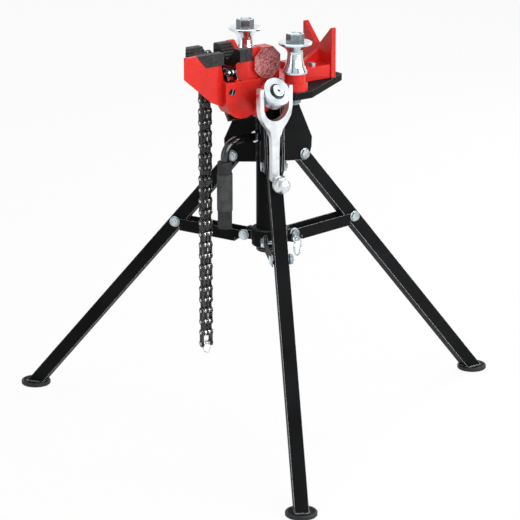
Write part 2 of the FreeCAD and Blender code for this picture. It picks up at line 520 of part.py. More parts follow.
def build_benders():
    """Two turning spools on bolts that go through boss, deck and plate to a nut underneath."""
    bore = SPOOL_BOLT_R + RUN_FIT
    base = SPOOL_BASE + 0.3
    waist = [(27, base), (27, base + 4), (24.6, base + 9), (21.6, base + 15), (19.2, base + 23),
             (17.6, base + 32), (16.8, base + 42), (17.6, base + 48), (21.5, base + 53), (28, base + 58),
             (SPOOL_R - 2, 882.5), (SPOOL_R, 884), (SPOOL_R, SPOOL_TOP - 1.5), (SPOOL_R - 2, SPOOL_TOP)]
    for side, sign in (("front", -1), ("rear", 1)):
        y = sign * SPOOL_Y
        save(f"bender_spool_{side}", turned([(bore, base)] + waist + [(bore, SPOOL_TOP)], (0, y, 0)))
        shank = rod(SPOOL_BOLT_R, (0, y, PLATE_Z - 16), (0, y, SPOOL_TOP + 0.3))
        head = hexagon(SPOOL_HEX, SPOOL_HEX_H, (0, y, SPOOL_TOP + 0.3))
        head.rotate(Vec(0, y, 0), Z, SPOOL_HEX_TURN)
        nut = hexagon(28, 12, (0, y, PLATE_Z), Z * -1)
        save(f"bender_bolt_{side}", fused(shank, head, nut))


# ---------------------------------------------------------------- crank, screw and drawbar
def build_crank():
    nut = screw_rod(12, 35, 78).cut(screw_rod(SCREW_R + RUN_FIT, 30, 80))
    save("screw_nut", nut)
    save("crank_screw", screw_rod(SCREW_R, 12, 100))

    face = -HUB_T / 2
    hub = screw_rod(HUB_R, face, -face)
    hub = hub.cut(screw_rod(HUB_R - 14, face - 1, face + 2))
    cross = rod(CROSS_R, (HUB.x - PRONG_OUT - 1, HUB.y, HUB.z), (HUB.x + PRONG_OUT + 1, HUB.y, HUB.z))
    save("crank_hub", hub.cut(cross).removeSplitter())
    save("crank_cross_pin", cross)
    bolt = screw_rod(HUB_BOLT_R, face - 7, face + 2)
    save("hub_bolt", bolt.cut(screw_rod(2.5, face - 8, face - 4)))

    half = PRONG_T / 2
    outline = [(PRONG_OUT, 15), (PRONG_OUT, -30), (39, -50), (29, -66), (17, -80), (11, -98), (9.5, -130),
               (9.5, -LEVER_L + 5), (6, -LEVER_L)]
    outer = [(HUB.x + x, HUB.z + z) for x, z in outline]
    outer += [(HUB.x - x, HUB.z + z) for x, z in reversed(outline)]
    lever = prism(outer, "xz", HUB.y - half, HUB.y + half)
    crotch = box(HUB.x - PRONG_IN, HUB.x + PRONG_IN, HUB.y - 30, HUB.y + 30, HUB.z - 26, HUB.z + 30)
    round_end = rod(PRONG_IN, (HUB.x, HUB.y - 30, HUB.z - 26), (HUB.x, HUB.y + 30, HUB.z - 26))
    lever = lever.cut(crotch.fuse(round_end))
    lever = lever.cut(rod(CROSS_R + RUN_FIT, (HUB.x - 60, HUB.y, HUB.z), (HUB.x + 60, HUB.y, HUB.z)))
    thin = 5.5
    for y0, y1 in ((HUB.y - half - 1, HUB.y - thin), (HUB.y + thin, HUB.y + half + 1)):
        lever = lever.cut(box(HUB.x - 20, HUB.x + 20, y0, y1, HUB.z - LEVER_L - 1, HUB.z - 92))
    stub_start = (HUB.x, HUB.y, HUB.z - LEVER_L + 8)
    stub = rod(5, stub_start, (HUB.x, HUB.y - 30, HUB.z - LEVER_L - 3))
    save("crank_lever", lever.fuse(stub).removeSplitter())
    ball_center = Vec(HUB.x, HUB.y - 26, HUB.z - LEVER_L - 2)
    save("crank_ball", Part.makeSphere(BALL_R, ball_center).cut(stub))

    plate = screw_box(-73, 13, -13, 34, 88, 96).fuse(screw_box(-73, -45, 30, 63.5, 88, 96))
    arm = screw_box(-63, -55, 46, 63, 50, 96)
    tongue = rod(8, (CHAIN_X - 4, *LEAD_PINS[0]), (CHAIN_X + 4, *LEAD_PINS[0]))
    drawbar = fused(plate, arm, tongue)
    drawbar = drawbar.cut(screw_rod(SCREW_R + RUN_FIT, 80, 100))
    pin_bore = rod(CHAIN_PIN_R + RUN_FIT, (CHAIN_X - 20, *LEAD_PINS[0]), (CHAIN_X + 20, *LEAD_PINS[0]))
    save("chain_drawbar", drawbar.cut(pin_bore))
    clips = []
    for t0, t1 in ((84.6, 87.6), (96.4, 99.4)):
        clips.append(screw_rod(11, t0, t1).cut(screw_rod(SCREW_R, t0 - 1, t1 + 1)))
    save("screw_rings", *clips)


# ---------------------------------------------------------------- chain
def link_plates(start, end, inner, centre=True):
    """The side plates of one link, inner ones between outer ones, and a leaf beside the middle plane."""
    (y0, z0), (y1, z1) = start, end
    length = math.hypot(y1 - y0, z1 - z0)
    tilt_angle = math.degrees(math.atan2(z1 - z0, y1 - y0))
    near = ROLLER_HALF + LINK_GAP if inner else ROLLER_HALF + LINK_T + 2 * LINK_GAP
    leaf = LINK_GAP / 2 if inner else -LINK_GAP / 2 - LINK_T
    plates = []
    for x0 in (near, -near - LINK_T, leaf)[:3 if centre else 2]:
        blank = rod(PLATE_HALF, (x0, 0, 0), (x0 + LINK_T, 0, 0))
        blank = blank.fuse(rod(PLATE_HALF, (x0, length, 0), (x0 + LINK_T, length, 0)))
        waist = PLATE_HALF - 1.8
        blank = blank.fuse(box(x0, x0 + LINK_T, 0, length, -waist, waist))
        hole = CHAIN_PIN_R + (RUN_FIT if inner else 0)
        for y in (0, length):
            blank = blank.cut(rod(hole, (x0 - 1, y, 0), (x0 + LINK_T + 1, y, 0)))
        blank = blank.removeSplitter()
        blank.rotate(Vec(0, 0, 0), X, tilt_angle)
        blank.translate(Vec(CHAIN_X, y0, z0))
        plates.append(blank)
    return plates


def pin_and_roller(point, with_roller=True):
    y, z = point
    solids = [rod(CHAIN_PIN_R, (CHAIN_X - PIN_HALF, y, z), (CHAIN_X + PIN_HALF, y, z))]
    if with_roller:
        bore = rod(CHAIN_PIN_R + RUN_FIT, (CHAIN_X - 20, y, z), (CHAIN_X + 20, y, z))
        inner_end = LINK_T + 1.5 * LINK_GAP
        for low, high in ((-ROLLER_HALF, -inner_end), (inner_end, ROLLER_HALF)):
            solids.append(rod(ROLLER_R, (CHAIN_X + low, y, z), (CHAIN_X + high, y, z)).cut(bore))
    return solids


def build_chain():
    """A short run lying in the slot, then the tail hanging behind the casting in three lengths."""
    plates, pins = [], []
    for index in range(len(LEAD_PINS) - 1):
        plates += link_plates(LEAD_PINS[index], LEAD_PINS[index + 1], index % 2 == 1, centre=index > 0)
    for index, point in enumerate(LEAD_PINS):
        pins += pin_and_roller(point, with_roller=index > 0)
    save("chain_lead_plates", *plates)
    save("chain_lead_pins", *pins)

    y, z = LEAD_PINS[-1]
    count, total = 0, sum(TAIL_LINKS.values())
    for name, links in TAIL_LINKS.items():
        plates, pins = [], []
        for _ in range(links):
            inner = (count + len(LEAD_PINS) - 1) % 2 == 1
            count += 1
            plates += link_plates((y, z), (y, z - PITCH), inner, centre=count < total)
            z -= PITCH
            pins += pin_and_roller((y, z), with_roller=count < total)
        save(f"chain_{name}_plates", *plates)
        save(f"chain_{name}_pins", *pins)
    ring_drop = CHAIN_PIN_R + 0.4 - (END_RING_R - END_WIRE)
    save("chain_end_ring", Part.makeTorus(END_RING_R, END_WIRE, Vec(CHAIN_X, y, z + ring_drop), X))


build_tripod()
build_post()
build_collar()
build_lock_pin()
build_handle()
build_vise_body()
build_plate_and_rest()
build_benders()
build_crank()
build_chain()
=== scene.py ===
# %% [markdown]
# # A tripod stand with a chain vise
# The stand is bought-in square tube, pressed channel and one heavy iron casting.

# %% Load the construction
import json
import math
import bpy
from mathutils import Matrix, Vector


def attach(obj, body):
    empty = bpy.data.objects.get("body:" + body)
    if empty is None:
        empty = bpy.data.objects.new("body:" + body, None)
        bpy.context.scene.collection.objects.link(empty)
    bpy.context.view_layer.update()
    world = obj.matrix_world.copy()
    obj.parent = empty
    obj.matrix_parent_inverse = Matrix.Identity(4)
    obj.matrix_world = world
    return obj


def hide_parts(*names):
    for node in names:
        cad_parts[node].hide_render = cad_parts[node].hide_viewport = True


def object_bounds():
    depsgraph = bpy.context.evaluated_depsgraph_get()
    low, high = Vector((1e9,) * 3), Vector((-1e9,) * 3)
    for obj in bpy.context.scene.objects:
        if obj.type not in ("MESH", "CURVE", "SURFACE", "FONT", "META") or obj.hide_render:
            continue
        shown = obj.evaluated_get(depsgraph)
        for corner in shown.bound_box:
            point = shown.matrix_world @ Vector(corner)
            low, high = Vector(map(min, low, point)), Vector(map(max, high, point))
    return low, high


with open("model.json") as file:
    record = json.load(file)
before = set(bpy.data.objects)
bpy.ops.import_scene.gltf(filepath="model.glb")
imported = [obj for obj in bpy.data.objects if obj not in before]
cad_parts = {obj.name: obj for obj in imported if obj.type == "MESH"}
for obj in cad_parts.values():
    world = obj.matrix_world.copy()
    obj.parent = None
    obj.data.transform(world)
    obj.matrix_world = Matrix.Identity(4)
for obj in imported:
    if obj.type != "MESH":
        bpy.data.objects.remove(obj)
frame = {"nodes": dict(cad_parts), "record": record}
nodes = frame["nodes"]
record = frame["record"]
cad_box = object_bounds()
body_of_node = {n: b for b, names in record["behaviour"]["bodies"].items() for n in names}
slot_of_node = {s["node"]: s["material_slot"] for s in record["subparts"]}
print("nodes", len(nodes), "box", [round(v, 3) for v in cad_box[1] - cad_box[0]])
bpy.ops.object.select_all(action="DESELECT")

# %% [markdown]
# ## Colours and a helper for nodes
# A paint chip is read as an sRGB hex value, but the renderer works in linear light, so one function turns
# the one into the other. A second one adds a shader node with its settings and its links in one call.
# Every finish is then built from the same few moves: a ramp of tones, lighter edges that are partly rubbed
# wear and partly painted highlight, wandering roughness and a bump.

# %% Colour and node helpers
def colour(hex_value):
    """An sRGB hex colour as linear RGBA."""
    parts = [int(hex_value[i:i + 2], 16) / 255 for i in (1, 3, 5)]
    linear = [c / 12.92 if c <= 0.04045 else ((c + 0.055) / 1.055) ** 2.4 for c in parts]
    return (*linear, 1.0)


def add(tree, kind, settings=None, **inputs):
    """One node: settings are its own properties, inputs are values or other nodes' sockets."""
    node = tree.nodes.new(kind)
    for name, value in (settings or {}).items():
        setattr(node, name, value)
    for name, value in inputs.items():
        key = int(name[1:]) if name[0] == "_" and name[1:].isdigit() else name.replace("_", " ")
        if isinstance(value, bpy.types.NodeSocket):
            tree.links.new(value, node.inputs[key])
        else:
            node.inputs[key].default_value = value
    return node


def new_material(name, base, rough, metal=0.0, gloss=0.5):
    """A named material with its Principled shader and an Object coordinate ready."""
    material = bpy.data.materials.new(name)
    material.use_nodes = True
    tree = material.node_tree
    shader = tree.nodes["Principled BSDF"]
    shader.inputs["Base Color"].default_value = colour(base)
    shader.inputs["Roughness"].default_value = rough
    shader.inputs["Metallic"].default_value = metal
    shader.inputs["Specular IOR Level"].default_value = gloss
    place = tree.nodes.new("ShaderNodeTexCoord").outputs["Object"]
    return material, tree, shader, place


def ramp(tree, factor, stops):
    """A colour ramp from (position, hex) stops."""
    node = add(tree, "ShaderNodeValToRGB", Fac=factor)
    marks = node.color_ramp.elements
    while len(marks) < len(stops):
        marks.new(0.5)
    for mark, (position, hex_value) in zip(marks, stops):
        mark.position = position
        mark.color = colour(hex_value)
    return node.outputs["Color"]


EDGE_SAMPLES = 6
EDGE_TURN = 0.86
CHIP_SCALE = 140.0
RUB_AND_HIGHLIGHT_SOFTNESS = 0.12


# This edge mask carries rubbed wear and also painted highlight: its light edge lines stand in for
# reflections on the edges.
def worn_edge(tree, place, width_mm, spread):
    """A 0 to 1 mask that is high on convex edges, broken up by a coarse noise, for rubbed wear and painted
    highlight.
    """
    bevel = add(tree, "ShaderNodeBevel", {"samples": EDGE_SAMPLES}, Radius=width_mm / 1000)
    geometry = add(tree, "ShaderNodeNewGeometry")
    same = add(tree, "ShaderNodeVectorMath", {"operation": "DOT_PRODUCT"},
               _0=bevel.outputs["Normal"], _1=geometry.outputs["Normal"])
    edge = add(tree, "ShaderNodeMapRange", _0=same.outputs["Value"], _1=1.0, _2=EDGE_TURN)
    chips = add(tree, "ShaderNodeTexNoise", Vector=place, Scale=CHIP_SCALE, Detail=6.0)
    mask = add(tree, "ShaderNodeMath", {"operation": "MULTIPLY"},
               _0=edge.outputs["Result"], _1=chips.outputs["Fac"])
    cut = add(tree, "ShaderNodeMapRange", _0=mask.outputs["Value"], _1=spread, _2=spread + RUB_AND_HIGHLIGHT_SOFTNESS)
    return cut.outputs["Result"]


def rub_edges(tree, shader, place, base, width_mm, spread, edge_hex):
    """Colour the shader with base, and with another colour on its convex edges, partly rubbed wear and
    partly painted highlight.
    """
    rub_and_highlight = worn_edge(tree, place, width_mm, spread)
    mixed = add(tree, "ShaderNodeMix", {"data_type": "RGBA"}, _0=rub_and_highlight, _6=base, _7=colour(edge_hex))
    tree.links.new(mixed.outputs[2], shader.inputs["Base Color"])


def vary_roughness(tree, shader, noise, low, high):
    """Let the roughness wander between two values with a noise."""
    haze = add(tree, "ShaderNodeMapRange", _0=noise.outputs["Fac"], _3=low, _4=high)
    tree.links.new(haze.outputs["Result"], shader.inputs["Roughness"])


def raise_grain(tree, shader, noise, strength, distance):
    """Bump the surface with a noise."""
    bump = add(tree, "ShaderNodeBump", Height=noise.outputs["Fac"], Strength=strength, Distance=distance)
    tree.links.new(bump.outputs["Normal"], shader.inputs["Normal"])

# %% [markdown]
# ## Black enamel on steel tube
# The legs, braces and plates are welded steel dipped in black stoving enamel. To the eye it is nearly
# black, with soft highlights, a faint ripple called orange peel, and light lines on the edges that are
# partly wear from hands and floors and partly painted highlight. The bent handle bar is dipped in the same
# enamel but polished by the hand, so it is glossier and carries lines of light. The base plate's enamel is
# the dullest, and its painted edge lines are less bright.

# %% Black stoving enamel: satin, polished and matte
def black_paint(name, rough, gloss, edge_hex):
    material, tree, shader, place = new_material(name, "#151516", rough, 0.0, gloss)
    cloud = add(tree, "ShaderNodeTexNoise", Vector=place, Scale=9.0, Detail=4.0)
    base = ramp(tree, cloud.outputs["Fac"], [(0.3, "#111112"), (0.7, "#1a1b1c")])
    rub_edges(tree, shader, place, base, width_mm=2.0, spread=0.27, edge_hex=edge_hex)
    vary_roughness(tree, shader, cloud, rough - 0.06, rough + 0.08)
    peel = add(tree, "ShaderNodeTexNoise", Vector=place, Scale=420.0, Detail=2.0)
    raise_grain(tree, shader, peel, strength=0.08, distance=0.0004)
    return material


# The edge colours below are partly rubbed wear and partly painted highlight along the edges.
black_enamel = black_paint("black_stoving_enamel", rough=0.50, gloss=0.04, edge_hex="#c4c6c9")
polished_enamel = black_paint("polished_black_enamel", rough=0.13, gloss=0.9, edge_hex="#6f7174")
plate_enamel = black_paint("matte_plate_enamel", rough=0.60, gloss=0.06, edge_hex="#77797c")

# %% [markdown]
# ## Red enamel on cast iron
# Sand casting leaves the iron pebbled at about a millimetre, and thick paint rounds that off without hiding
# it. The red is a warm signal red, darker in the pores, with pale pink edges of painted highlight. A
# second, rougher red is for faces left as cast, where the sand grain shows; its dull brownish maroon is
# partly painted shade and reflection.

# %% Red enamel, glossy and as-cast
def red_casting(name, light, dark, tones, rough, grain_mm, depth, gloss):
    material, tree, shader, place = new_material(name, light, rough, 0.0, gloss)
    grain = add(tree, "ShaderNodeTexNoise", Vector=place, Scale=1000 / grain_mm, Detail=3.0)
    wide = add(tree, "ShaderNodeTexNoise", Vector=place, Scale=14.0, Detail=3.0)
    tone = add(tree, "ShaderNodeMath", {"operation": "MULTIPLY"},
               _0=grain.outputs["Fac"], _1=wide.outputs["Fac"])
    base = ramp(tree, tone.outputs["Value"], [(tones[0], dark), (tones[1], light)])
    # The pale pink edge colour is painted highlight on the convex edges.
    rub_edges(tree, shader, place, base, width_mm=1.6, spread=0.46, edge_hex="#f0705f")
    raise_grain(tree, shader, grain, strength=0.35, distance=depth)
    return material


red_enamel = red_casting("red_enamel_on_cast_iron", light="#d6261e", dark="#b51713", tones=(0.10, 0.30),
                         rough=0.26, grain_mm=3.0, depth=0.0005, gloss=0.30)
# The as-cast red's dull maroon is partly painted shade and reflection.
red_as_cast_and_shade = red_casting("red_enamel_as_cast_and_painted_shade", light="#c98b8a", dark="#7d2f33", tones=(0.17, 0.34),
                          rough=0.60, grain_mm=3.4, depth=0.0045, gloss=0.25)

# %% [markdown]
# ## Bright zinc plate
# Bolts, spools and hub are zinc plated: a cool blue-white metal, a little cloudy, so its reflections are
# soft. Turned parts keep the lathe's rings, so the noise is stretched flat to hint at them. The forged
# lever is the same plate over a rougher skin and reads almost white. Forged heads and the linkage's bolts
# are greyer, and their convex edges are bright: partly rubbed, partly painted highlight.

# %% Bright zinc
LATHE_STRETCH = (30.0, 30.0, 700.0)
# The near-white edge colour: partly rubbed zinc, partly painted highlight.
RUBBED_AND_HIGHLIT_ZINC = "#f6fafb"


def zinc(name, base_hex, shade_hex, rough, metal, ring_depth, rubbed_and_highlit=None):
    """A zinc plate. The last argument is the width in mm and the spread of its bright edges, partly rubbed
    and partly painted highlight, where it has them.
    """
    material, tree, shader, place = new_material(name, base_hex, rough, metal)
    cloud = add(tree, "ShaderNodeTexNoise", Vector=place, Scale=40.0, Detail=4.0)
    base = ramp(tree, cloud.outputs["Fac"], [(0.35, shade_hex), (0.62, base_hex)])
    if rubbed_and_highlit:
        rub_edges(tree, shader, place, base, *rubbed_and_highlit, RUBBED_AND_HIGHLIT_ZINC)
    else:
        tree.links.new(base, shader.inputs["Base Color"])
    vary_roughness(tree, shader, cloud, rough - 0.05, rough + 0.06)
    flat = add(tree, "ShaderNodeMapping", Vector=place, Scale=LATHE_STRETCH)
    lathe = add(tree, "ShaderNodeTexNoise", Vector=flat.outputs["Vector"], Scale=1.0, Detail=2.0)
    raise_grain(tree, shader, lathe, strength=0.10, distance=ring_depth)
    return material


bright_zinc = zinc("bright_zinc_plate", "#e6edf1", "#c9d3d9", 0.17, 1.0, 0.00006)
washer_zinc = zinc("dull_zinc_washer", "#b4bdc2", "#858e94", 0.34, 1.0, 0.00006)
cast_zinc = zinc("zinc_on_forged_steel", "#e2e5e8", "#cdd1d5", 0.30, 0.85, 0.0001)
# The bright edges of these two zincs are partly rubbed wear and partly painted highlight.
forged_zinc = zinc("zinc_on_forged_head", "#8c989c", "#6c777b", 0.22, 1.0, 0.00003, rubbed_and_highlit=(1.8, 0.20))
bolt_zinc = zinc("zinc_on_cold_headed_bolt", "#ccd5d9", "#808b8f", 0.20, 1.0, 0.00003, rubbed_and_highlit=(1.2, 0.22))

# %% [markdown]
# ## Oiled chain steel and hardened jaws
# The chain is blackened steel kept oily: dark plates with small bright glints painted into their colour,
# and rollers and pin ends that are bright, partly rubbed and partly painted highlight. The jaws are
# quenched and blackened, duller and a little grey on the tooth crests.

# %% Chain and jaw steel
def dark_steel(name, dark, painted_glint_and_mottle, rough, edge_mm, edge_cut, edge_hex):
    material, tree, shader, place = new_material(name, dark, rough, metal=0.85)
    mottle = add(tree, "ShaderNodeTexNoise", Vector=place, Scale=160.0, Detail=5.0)
    # The lighter tone is a painted glint on the chain; on the jaws it is plain mottle.
    base = ramp(tree, mottle.outputs["Fac"], [(0.40, dark), (0.75, painted_glint_and_mottle)])
    rub_edges(tree, shader, place, base, edge_mm, edge_cut, edge_hex)
    vary_roughness(tree, shader, mottle, rough - 0.12, rough + 0.14)
    raise_grain(tree, shader, mottle, strength=0.25, distance=0.0003)
    return material


# The chain's glint tone and the pins' bright tones and edges are painted highlight, partly rubbed wear.
chain_steel = dark_steel("oiled_chain_steel", "#171718", "#4e4e4d", 0.28, 0.7, 0.40, "#dededc")
pin_steel = dark_steel("pin_steel_rubbed_and_painted_highlight", "#b4b3b1", "#e6e5e2", 0.20, 0.4, 0.30, "#ffffff")
jaw_steel = dark_steel("blackened_jaw_steel", "#2b2a2b", "#444344", 0.48, 0.8, 0.44, "#8a898a")

# %% [markdown]
# ## Rubber, plastic and brass
# The grip and the foot pads are moulded rubber: very dark, matte, with a powdery bloom. The tops of the
# grip's knurl take a paler mix of the same rubber. The plug is injection-moulded
# plastic, and the threaded bush inside the casting is turned brass with a fine lathe ring every third of a
# millimetre.

# %% Rubber, plastic and brass
def moulded(name, dark, pale, rough, grit_mm, depth):
    material, tree, shader, place = new_material(name, dark, rough, 0.0, 0.4)
    bloom = add(tree, "ShaderNodeTexNoise", Vector=place, Scale=55.0, Detail=5.0)
    base = ramp(tree, bloom.outputs["Fac"], [(0.35, dark), (0.75, pale)])
    tree.links.new(base, shader.inputs["Base Color"])
    grit = add(tree, "ShaderNodeTexNoise", Vector=place, Scale=1000 / grit_mm, Detail=2.0)
    raise_grain(tree, shader, grit, strength=0.3, distance=depth)
    return material


moulded_rubber = moulded("moulded_rubber", "#1b1c1d", "#343638", 0.66, 1.1, 0.0004)
foot_rubber = moulded("foot_pad_rubber", "#101011", "#1d1e1f", 0.55, 1.1, 0.0003)
pale_knurl_rubber = moulded("pale_knurl_tops", "#46484a", "#6d6f71", 0.70, 1.1, 0.0002)
moulded_plastic = moulded("black_polyethylene", "#151516", "#1f1f20", 0.42, 1.6, 0.0001)
turned_brass, tree, shader, place = new_material("turned_brass", "#c9a552", 0.28, 1.0)
lathe_rings = add(tree, "ShaderNodeTexWave", {"bands_direction": "Y"},
                  Vector=place, Scale=950.0, Distortion=0.4)
ring_tone = ramp(tree, lathe_rings.outputs["Fac"], [(0.2, "#b08d3f"), (0.8, "#d6b566")])
tree.links.new(ring_tone, shader.inputs["Base Color"])

# %% [markdown]
# ## Giving every carried-over part its finish
# The record says which slot each node takes, so the finish follows from the slot. A few nodes differ: link
# pins are brighter than link plates, partly rubbed and partly painted highlight, the forged lever is duller
# than the turned hub, the handle bar is polished and the base plate matte. The spools' large heads and the
# linkage's bolts have bright edges, partly rubbed and partly painted highlight, the small bolts of the head
# are dull, and the foot pads are darker than the grip.

# %% Finish of each node
finish_of_slot = {
    "black_paint": black_enamel,
    "red_paint": red_enamel,
    "zinc": bright_zinc,
    "dark_steel": chain_steel,
    "jaw_steel": jaw_steel,
    "rubber": moulded_rubber,
    "plastic": moulded_plastic,
    "brass": turned_brass,
}
finish_of_node = {
    "crank_lever": cast_zinc,
    "crank_ball": cast_zinc,
    "handle_bar": polished_enamel,
    "base_plate": plate_enamel,
    "bender_bolt_front": forged_zinc,
    "bender_bolt_rear": forged_zinc,
    "head_bolts": washer_zinc,
}


def finish_for(name):
    """A node's own finish, or its kind's, or that of its slot."""
    if name in finish_of_node:
        return finish_of_node[name]
    if name.endswith("_pins"):
        return pin_steel
    if name.endswith("_bolts") or name.startswith("brace_bolt"):
        return bolt_zinc
    if name.startswith("foot_pad"):
        return foot_rubber
    return finish_of_slot[slot_of_node[name]]


for name, node in nodes.items():
    node.data.materials.clear()
    node.data.materials.append(finish_for(name))
print("finishes", sorted({finish_for(n).name for n in nodes}))

# %% [markdown]
# ## Softening the edges
# No painted or forged edge is a knife edge. Each main part is copied, its loose triangles are merged back
# into faces, and a Bevel modifier rounds the edges by the radius that the process leaves: about 1 mm on
# bent tube, 2 mm on a casting, 3 mm on a forging. Weighted normals keep the broad faces flat to the light.
# The copy then stands for the node.

# %% Bevelled copies of the main parts
MERGE_DISTANCE = 0.00002
FLAT_ANGLE = math.radians(1.0)
SHARP_ANGLE = math.radians(32)
PLAIN_ANGLE = math.radians(30)
BEVEL_SEGMENTS = 2
LEG_ANGLES = {"rear": 0, "left": 120, "front": 240}


def select_only(obj):
    bpy.ops.object.select_all(action="DESELECT")
    obj.select_set(True)
    bpy.context.view_layer.objects.active = obj


def finish_with(obj, kind, **settings):
    """Add a modifier with its settings and apply it."""
    select_only(obj)
    modifier = obj.modifiers.new(kind.lower(), kind)
    for key, value in settings.items():
        setattr(modifier, key, value)
    bpy.ops.object.modifier_apply(modifier=modifier.name)


def copy_of_node(name):
    """A free copy of a node's mesh with its triangles merged back into faces."""
    piece = nodes[name].copy()
    piece.data = nodes[name].data.copy()
    piece.name = f"{name}_finished"
    for key in list(piece.keys()):
        del piece[key]
    piece.parent = None
    bpy.context.scene.collection.objects.link(piece)
    select_only(piece)
    bpy.ops.object.mode_set(mode="EDIT")
    bpy.ops.mesh.select_all(action="SELECT")
    bpy.ops.mesh.remove_doubles(threshold=MERGE_DISTANCE)
    bpy.ops.mesh.dissolve_limited(angle_limit=FLAT_ANGLE)
    bpy.ops.object.mode_set(mode="OBJECT")
    return piece


def soften(name, radius_mm):
    """A copy of a node with rounded edges, which replaces the node."""
    piece = copy_of_node(name)
    finish_with(piece, "BEVEL", width=radius_mm / 1000, segments=BEVEL_SEGMENTS, limit_method="ANGLE",
                angle_limit=SHARP_ANGLE, use_clamp_overlap=True)
    bpy.ops.object.shade_smooth_by_angle(angle=SHARP_ANGLE)
    finish_with(piece, "WEIGHTED_NORMAL", keep_sharp=True, weight=90)
    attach(piece, body_of_node[name])
    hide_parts(name)
    return piece


edge_radius = {
    "vise_body": 1.8, "pipe_rest": 1.8, "base_plate": 1.2, "v_jaw_left": 0.5, "v_jaw_right": 0.5,
    "crank_lever": 3.0, "crank_hub": 1.6, "hub_bolt": 1.0, "leg_gussets": 0.8, "slide_collar": 0.8,
    "chain_drawbar": 0.8, "lock_pin": 0.5, "roll_pin": 0.4, "handle_nut": 0.8,
    "bender_bolt_front": 1.0, "bender_bolt_rear": 1.0,
}
for place_name in LEG_ANGLES:
    edge_radius[f"leg_{place_name}"] = 1.8
    edge_radius[f"brace_{place_name}"] = 0.8
finished = {name: soften(name, radius) for name, radius in edge_radius.items()}
print("softened", len(finished), "parts,", sum(len(p.data.polygons) for p in finished.values()), "faces")
for name in nodes:
    if name not in edge_radius:
        select_only(nodes[name])
        bpy.ops.object.shade_smooth_by_angle(angle=PLAIN_ANGLE)

# %% [markdown]
# ## The face left as cast
# The octagonal pad at the front of the casting is never machined or filled, so its face shows the sand. Its
# polygons are found by their place and direction, and take the second red, partly painted shade. The
# painted recess shade, the bright head tops and the pale knurl tops further on are found the same way.

# %% Rough face of the octagonal pad
PAD_CENTRE, PAD_RADIUS, PAD_FACE_Y = Vector((-0.047, 0, 0.843)), 0.040, -0.0545
FACES_FRONT = -0.6


def second_finish(piece, material, wanted):
    """Give another material to the faces for which wanted(face) is true, and count them."""
    piece.data.materials.append(material)
    for face in piece.data.polygons:
        if wanted(face):
            face.material_index = 1
    return sum(face.material_index for face in piece.data.polygons)


def reach_seen_from_front(face, centre):
    """How far a face's middle is from a centre, leaving depth along Y out."""
    offset = face.center - centre
    offset.y = 0
    return offset.length


def on_pad(face):
    fronts = face.center.y < PAD_FACE_Y and face.normal.y < FACES_FRONT
    return fronts and reach_seen_from_front(face, PAD_CENTRE) < PAD_RADIUS


print("faces left as cast", second_finish(finished["vise_body"], red_as_cast_and_shade, on_pad))

# %% [markdown]
# ## Painted shade in the hub's recess
# The hub's bolt sits in a turned recess. Its floor and the bolt's own centre hole are painted near black as
# painted shade, which reads as dark rings on the bright disc. Their polygons are found in the screw's own
# frame.

# %% Painted recess shade in the hub
HUB_CENTRE, TILT = Vector((-0.074, -0.118, 0.789)), math.radians(35)
screw_axis = Vector((0, math.cos(TILT), -math.sin(TILT)))
# A near-black painted shade for the recess floor and the bolt's centre hole.
recess_shade, tree, shader, place = new_material("painted_recess_shade", "#1b1d1e", 0.30)
shade_mottle = add(tree, "ShaderNodeTexNoise", Vector=place, Scale=220.0, Detail=3.0)
recess_shade_tone = ramp(tree, shade_mottle.outputs["Fac"], [(0.3, "#141516"), (0.7, "#2c2f31")])
tree.links.new(recess_shade_tone, shader.inputs["Base Color"])
# How far from the axis the painted shade reaches, and how far out along it.
shade_limits = {"crank_hub": (0.0182, -0.0115), "hub_bolt": (0.0026, -0.0185)}


def in_grease(face, reach, outermost):
    offset = face.center - HUB_CENTRE
    along = offset.dot(screw_axis)
    return (offset - screw_axis * along).length < reach and outermost < along < 0


for name, limits in shade_limits.items():
    count = second_finish(finished[name], recess_shade, lambda face: in_grease(face, *limits))
    print("painted shade faces of", name, count)

# %% [markdown]
# ## The slotted roll pin
# The pin's end is oily and dark, and the faces of its slot take the bright zinc. The slot's own polygons
# lie behind the end face, so their depth finds them.

# %% Bright slot of the roll pin
SLOT_TOP_Y, SLOT_FLOOR_Y, SLOT_REACH = -0.0651, -0.0618, 0.0068
pin = finished["roll_pin"]
pin.data.materials[0] = chain_steel
pin_centre = sum((v.co for v in pin.data.vertices), Vector()) / len(pin.data.vertices)


def in_slot(face):
    return (SLOT_TOP_Y < face.center.y < SLOT_FLOOR_Y
            and reach_seen_from_front(face, pin_centre) < SLOT_REACH)


print("slot faces", second_finish(pin, bright_zinc, in_slot))

# %% [markdown]
# ## The dished bolt heads on the spools
# A large forged bolt head isn't flat on top: the die leaves a raised rim round a shallow dish. The top face
# of each head is inset to leave the rim, and inset again and pushed down for the dish, and the faces near
# the top that face up take the bright zinc.

# %% Dished heads
def edit_selected(obj, kind, wanted):
    """Go into edit mode with the faces or edges selected for which wanted(part) is true."""
    select_only(obj)
    bpy.ops.object.mode_set(mode="EDIT")
    bpy.ops.mesh.select_mode(type=kind)
    bpy.ops.mesh.select_all(action="DESELECT")
    bpy.ops.object.mode_set(mode="OBJECT")
    for part in obj.data.polygons if kind == "FACE" else obj.data.edges:
        part.select = wanted(part)
    bpy.ops.object.mode_set(mode="EDIT")


def leave_edit():
    bpy.ops.object.mode_set(mode="OBJECT")


DISH_RIM, DISH_SLOPE, DISH_DEPTH = 0.0035, 0.0016, 0.0022
TOP_SKIN, TOP_BAND = 0.0004, 0.004
FLAT_UP, LEANS_UP = 0.98, 0.7


def faces_up(face, lowest, least_rise):
    return face.center.z > lowest and face.normal.z > least_rise


